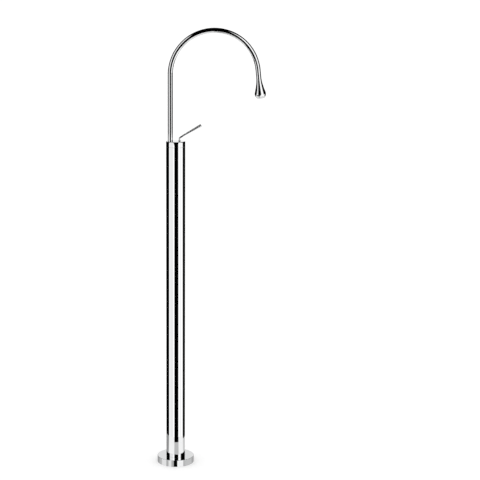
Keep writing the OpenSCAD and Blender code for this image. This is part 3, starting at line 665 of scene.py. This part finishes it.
flare = []
for step in range(flare_steps + 1):
    share = step / flare_steps
    flare.append((tube_r + (blend_r - tube_r) * share**drop_curve, flare_len * share))
round_end = []
for step in range(1, round_end_steps + 1):
    turned = -drop_blend_a + (face_a + drop_blend_a) * step / round_end_steps
    round_end.append((drop_r * cos(turned), drop_middle + drop_r * sin(turned)))
drop_outlet = outline([
    (tube_r, joint), *flare, *round_end, (aerator_r, drop_len), (aerator_r, drop_len - aerator_h),
    (drop_bore_r, drop_len - aerator_h), (drop_bore_r, joint + nipple_down),
    (nipple_r, joint + nipple_down), (nipple_r, joint)
], closed=True)
round_corners(drop_outlet, drop_edge, [(aerator_r, drop_len), (drop_face_r, drop_len)], segments=3)
turn(drop_outlet, 192)
down_leg = (
    Matrix.Translation((leg_end + leg_way * neck_len) * MM)
    @ Matrix.Rotation(pi - lean_a, 4, "Y")
)
bmesh.ops.transform(drop_outlet, matrix=down_leg, verts=drop_outlet.verts)
dress(
    finished_piece("turned_drop_outlet", drop_outlet, spout_chrome, sharp=40),
    "spout", "chrome", "drop_outlet"
)

aerator_plastic = moulded_finish("aerator_plastic", (0.70, 0.71, 0.70), (0.64, 0.65, 0.64))
finish_nodes(aerator_plastic, "aerator_insert")
screen_steel = machined_finish(
    "screen_steel", (0.55, 0.55, 0.54), (0.46, 0.46, 0.45), low=0.3, high=0.45
)
finish_nodes(screen_steel, "aerator_screen")


# Studio. A pale floor that runs into a white background, with the object's soft shadow on it.
# The chrome reflects what stands round such things when they are photographed: two tall white
# softboxes, a grey sweep round the foot that glows with painted shade and painted stripes, black
# cards in front, a flag, and white strips behind.
def new_stage_finish(name):
    finish = bpy.data.materials.new(name)
    finish.use_nodes = True
    tree = finish.node_tree
    tree.nodes.clear()
    out = add_node(tree, "ShaderNodeOutputMaterial")
    return finish, tree, out


def stage_mesh(name, shape, finish):
    mesh = bpy.data.meshes.new(name)
    shape.to_mesh(mesh)
    shape.free()
    mesh.materials.append(finish)
    made = bpy.data.objects.new(name, mesh)
    bpy.context.scene.collection.objects.link(made)
    return made


def stage_disc(name, radius, height, finish):
    disc = bmesh.new()
    bmesh.ops.create_circle(
        disc, cap_ends=True, segments=128, radius=radius, matrix=Matrix.Translation((0, 0, height))
    )
    return stage_mesh(name, disc, finish)


def only_reflected(thing):
    thing.visible_camera = False
    thing.visible_diffuse = False
    thing.visible_shadow = False


floor_r = 40.0
floor_colour = 0.8
floor_lift = 0.27
floor_finish, tree, out = new_stage_finish("pale_floor")
matt = add_node(tree, "ShaderNodeBsdfDiffuse")
matt.inputs["Color"].default_value = (floor_colour, floor_colour, floor_colour, 1)
lift = add_node(tree, "ShaderNodeEmission")
seen = add_node(tree, "ShaderNodeLightPath")
lift_level = add_node(tree, "ShaderNodeMath", operation="MULTIPLY")
lift_level.inputs[1].default_value = floor_lift
both = add_node(tree, "ShaderNodeAddShader")
link(tree, seen.outputs["Is Camera Ray"], lift_level.inputs[0])
link(tree, lift_level.outputs[0], lift.inputs["Strength"])
link(tree, matt.outputs[0], both.inputs[0])
link(tree, lift.outputs[0], both.inputs[1])
link(tree, both.outputs[0], out.inputs["Surface"])
floor = stage_disc("studio_floor", floor_r, 0.0, floor_finish)
floor.visible_glossy = False


def value_of(tree, kind, *inputs):
    """A Math node's result, from numbers or sockets."""
    node = add_node(tree, "ShaderNodeMath", operation=kind)
    for place, given in enumerate(inputs):
        if isinstance(given, (int, float)):
            node.inputs[place].default_value = given
        else:
            link(tree, given, node.inputs[place])
    return node.outputs[0]


def rises(tree, value, edge, soft):
    """0 below the edge and 1 above it, both of which may be sockets or numbers."""
    node = add_node(tree, "ShaderNodeMapRange", interpolation_type="SMOOTHSTEP")
    link(tree, value, node.inputs["Value"])
    for socket, given in (("From Min", value_of(tree, "SUBTRACT", edge, soft)),
                          ("From Max", value_of(tree, "ADD", edge, soft))):
        link(tree, given, node.inputs[socket])
    return node.outputs["Result"]


def falls(tree, value, edge, soft):
    """1 below the edge and 0 above it."""
    return value_of(tree, "SUBTRACT", 1.0, rises(tree, value, edge, soft))


def between(tree, value, low, high, soft=2.0):
    return value_of(
        tree, "MULTIPLY", rises(tree, value, low, soft), falls(tree, value, high, soft)
    )


def product_of(tree, *masks):
    result = masks[0]
    for mask in masks[1:]:
        result = value_of(tree, "MULTIPLY", result, mask)
    return result


def highest_of(tree, *masks):
    result = masks[0]
    for mask in masks[1:]:
        result = value_of(tree, "MAXIMUM", result, mask)
    return result


def compass(tree, direction):
    """Degrees round from the camera's side towards the spout's side, and degrees above level."""
    split = add_node(tree, "ShaderNodeSeparateXYZ")
    link(tree, direction, split.inputs[0])
    towards = value_of(tree, "MULTIPLY", split.outputs["Y"], -1.0)
    round_about = value_of(tree, "ARCTAN2", split.outputs["X"], towards)
    height = value_of(tree, "ARCSINE", split.outputs["Z"])
    return [value_of(tree, "MULTIPLY", angle, degrees(1)) for angle in (round_about, height)]


white = 1.1
world = bpy.data.worlds.new("studio")
bpy.context.scene.world = world
world.use_nodes = True
tree = world.node_tree
tree.nodes.clear()
out = add_node(tree, "ShaderNodeOutputWorld")
level = add_node(tree, "ShaderNodeBackground")
level.inputs["Color"].default_value = (1, 1, 1, 1)
link(tree, level.outputs[0], out.inputs["Surface"])
az, el = compass(tree, add_node(tree, "ShaderNodeTexCoord").outputs["Generated"])

# The softboxes reach round beside the object, a little less far at the spout's height. Their
# ends lean a little. The left one stands parallel to the view, so its top looks lower towards
# the front.
spout_el = -7.1
column_el = -7.5
spout_height = rises(tree, el, spout_el, 0.25)


def box_end(tree, column_az, spout_az, lean):
    """A box's end: at the spout, at the column's top, and leaning so much a degree below it."""
    lower = value_of(tree, "MAXIMUM", value_of(tree, "SUBTRACT", column_el, el), 0.0)
    at_column = value_of(tree, "ADD", column_az, value_of(tree, "MULTIPLY", lower, lean))
    at_spout = value_of(tree, "MULTIPLY", spout_height, spout_az - column_az)
    return value_of(tree, "ADD", at_column, at_spout)


def shade(tree, low, high, darker):
    """A factor that is lower between two azimuths."""
    dimmed = value_of(tree, "MULTIPLY", between(tree, az, low, high, 3.0), darker)
    return value_of(tree, "SUBTRACT", 1.0, dimmed)


left_end = box_end(tree, column_az=-86.0, spout_az=-78.0, lean=-0.3)
right_end = box_end(tree, column_az=92.5, spout_az=67.0, lean=0.45)
side_share = value_of(tree, "ABSOLUTE", value_of(tree, "SINE", value_of(tree, "RADIANS", az)))
left_top = value_of(tree, "MINIMUM", value_of(tree, "MULTIPLY", side_share, 72.0), 50.0)
left_box = product_of(
    tree, between(tree, az, left_end, 5.0), rises(tree, el, -22.0, 2.0),
    falls(tree, el, left_top, 2.0), shade(tree, -74.0, -32.0, 0.2)
)
right_box = product_of(
    tree, between(tree, az, -5.0, right_end), between(tree, el, -40.0, 45.0, 3.0),
    shade(tree, 60.0, 70.0, 0.2)
)

# Behind stands a wall that darkens upwards. The floor shows white low in front, grey low beside
# and behind, and a darker grey straight below.
off_front = value_of(tree, "ABSOLUTE", az)
wall_level = value_of(tree, "SUBTRACT", 0.92, value_of(tree, "MULTIPLY", el, 0.011))
back_wall = product_of(
    tree, rises(tree, off_front, 170.0, 2.0), between(tree, el, 3.0, 25.0), wall_level
)
low_front = product_of(
    tree, between(tree, el, -60.0, -45.0, 3.0), falls(tree, off_front, 75.0, 3.0)
)
low_back = product_of(
    tree, between(tree, el, -60.0, -25.0), rises(tree, off_front, 75.0, 3.0), 0.68
)
below = value_of(tree, "MULTIPLY", falls(tree, el, -55.0, 5.0), 0.64)
shown = highest_of(tree, left_box, right_box, back_wall, low_front, low_back, below)
rays = add_node(tree, "ShaderNodeLightPath")
pick = add_node(tree, "ShaderNodeMix")
pick.inputs["A"].default_value = 1.0
link(tree, rays.outputs["Is Glossy Ray"], pick.inputs["Factor"])
link(tree, value_of(tree, "MULTIPLY", shown, white), pick.inputs["B"])
link(tree, pick.outputs["Result"], level.inputs["Strength"])

# The sweep round the foot is a glowing disc with painted shade, seen only in reflections. It
# shows in the column white between the cards and a painted grey under them. It ends at three
# distances, where the black stripes of the column end: front_r under the middle one and right_r
# under the right one, beyond which it is painted black, and sweep_r under the left one.
sweep_r = 0.2435
right_r = 0.217
front_r = 0.201
near_r = 0.1
sweep_z = 0.0002
glowing_sweep_finish, tree, out = new_stage_finish("glowing_sweep_painted_shade")
place = add_node(tree, "ShaderNodeTexCoord").outputs["Object"]
az, el = compass(tree, place)
reach = add_node(tree, "ShaderNodeVectorMath", operation="LENGTH")
link(tree, place, reach.inputs[0])
far = reach.outputs["Value"]
under_front = between(tree, az, -15.0, 33.0)
under_left = falls(tree, az, -88.0, 3.0)
under_right = rises(tree, az, 97.0, 3.0)


def levels(tree, base, *changes):
    """A base level with steps up or down where each mask is 1, never below nothing."""
    result = base
    for mask, change in changes:
        result = value_of(tree, "ADD", result, value_of(tree, "MULTIPLY", mask, change))
    return value_of(tree, "MAXIMUM", result, 0.0)


# Painted shade: the sweep glows at 0.94, darker in front under the cards and to the left and right,
# and painted black beyond front_r in front and beyond right_r on the right.
far_glow_painted_shade = levels(
    tree, 0.94, (under_front, -0.42), (under_left, -0.64), (under_right, -0.32),
    (product_of(tree, under_right, rises(tree, far, right_r, 0.003)), -1.0),
    (product_of(tree, under_front, rises(tree, far, front_r, 0.002)), -1.0)
)

# Close to the flange the sweep glows grey with painted stripes and is painted black before the
# camera. These are painted reflections for the flange's side. side_az is the bearing on the
# flange's side at which a place on the sweep shows, so that they stand upright.
nearness = value_of(tree, "DIVIDE", flange_r * MM, far)
side_az = value_of(tree, "DIVIDE", az, value_of(tree, "SUBTRACT", 2.0, nearness))
stripes = [
    (between(tree, side_az, low, high, soft), change) for low, high, soft, change in (
        (-31.5, -23.5, 1.5, -0.36), (-13.5, -5.3, 1.5, -0.36), (5.0, 24.0, 1.5, 0.14),
        (25.0, 32.0, 1.5, -0.3), (32.0, 65.0, 1.5, -0.24), (-5.8, 5.0, 1.0, -1.0)
    )
]
near_painted_level = levels(
    tree, 0.8, *stripes, (rises(tree, side_az, 65.0, 3.0), -0.4),
    (falls(tree, side_az, -51.0, 3.0), -0.3), (falls(tree, side_az, -67.0, 3.0), -0.15)
)
sweep_pick = add_node(tree, "ShaderNodeMix")
link(tree, rises(tree, far, near_r, 0.003), sweep_pick.inputs["Factor"])
link(tree, near_painted_level, sweep_pick.inputs["A"])
link(tree, far_glow_painted_shade, sweep_pick.inputs["B"])
# The sweep is no lamp. It glows with these painted levels and shows only in reflections.
glow = add_node(tree, "ShaderNodeEmission")
link(tree, sweep_pick.outputs["Result"], glow.inputs["Strength"])
link(tree, glow.outputs[0], out.inputs["Surface"])
only_reflected(stage_disc("glowing_sweep_painted_shade", sweep_r, sweep_z, glowing_sweep_finish))

# Three black cards stand before the object: the low one for the column, the one set furthest off
# for the spout and the lever, and a small one for the drop. A black flag stands on the left.
def lit_finish(name, strength):
    finish, tree, out = new_stage_finish(name)
    light = add_node(tree, "ShaderNodeEmission")
    light.inputs["Strength"].default_value = strength
    link(tree, light.outputs[0], out.inputs["Surface"])
    return finish


def flat_card(name, corners, finish):
    """A flat card through the corners, in metres."""
    card = bmesh.new()
    card.faces.new([card.verts.new(corner) for corner in corners])
    only_reflected(stage_mesh(name, card, finish))


card_black = lit_finish("black_card", 0.0)
for name, distance, corners in (
    ("column_card", 0.2, [
        (-0.054, 0), (0.124, 0), (0.124, 0.5), (0.111, 0.84), (-0.054, 0.84)
    ]),
    ("spout_card", 0.41, [
        (-0.1, 0.7), (0.24, 0.7), (0.24, 0.81), (0.33, 0.82), (0.33, 1.06), (0.31, 1.15),
        (0.31, 1.9), (-0.14, 1.9), (-0.27, 1.25), (-0.27, 1.2), (-0.25, 1.05), (-0.215, 1.02),
        (-0.215, 0.82), (-0.1, 0.81)
    ]),
    ("drop_card", 0.25, [(-0.03, 1.03), (0.052, 1.03), (0.052, 1.17), (-0.03, 1.17)])
):
    flat_card(name, [(x, -distance, z) for x, z in corners], card_black)

flag_x = -0.35
flag_corners = [(-0.1, 0.85), (0.2, 0.85), (0.2, 1.9), (-0.1, 1.9)]
flat_card("left_flag", [(flag_x, y, z) for y, z in flag_corners], card_black)

# Narrow white strips stand close behind the column and the spout. They light their backs, and
# lie too near the middle to show from the front.
strip_white = lit_finish("white_strip", 1.0)
for name, strip_y, left, right, low, high in (
    ("left_strip", 0.045, -0.023, -0.006, 0.02, 0.875),
    ("right_strip", 0.045, 0.004, 0.023, 0.02, 0.875),
    ("spout_strip", 0.012, -0.0185, -0.0105, 0.89, 1.045)
):
    corners = [(left, low), (right, low), (right, high), (left, high)]
    flat_card(name, [(x, strip_y, z) for x, z in corners], strip_white)


# Camera. It stands 3.75 m before the object with a long lens, and looks down on it by 11 degrees.
# A sideways shift, and not a turn, puts the column left of the middle and keeps it upright.
camera_away = 3.75
camera_h = 1.355
look_down = 11.21
camera_data = bpy.data.cameras.new("studio_camera")
camera_data.sensor_width = 36.0
camera_data.lens = 108.73
camera_data.shift_x = 0.134
camera = bpy.data.objects.new("studio_camera", camera_data)
camera.location = (0, -camera_away, camera_h)
camera.rotation_euler = (radians(90 - look_down), 0, 0)
bpy.context.scene.collection.objects.link(camera)
bpy.context.scene.camera = camera
bpy.context.scene.view_settings.view_transform = "Standard"
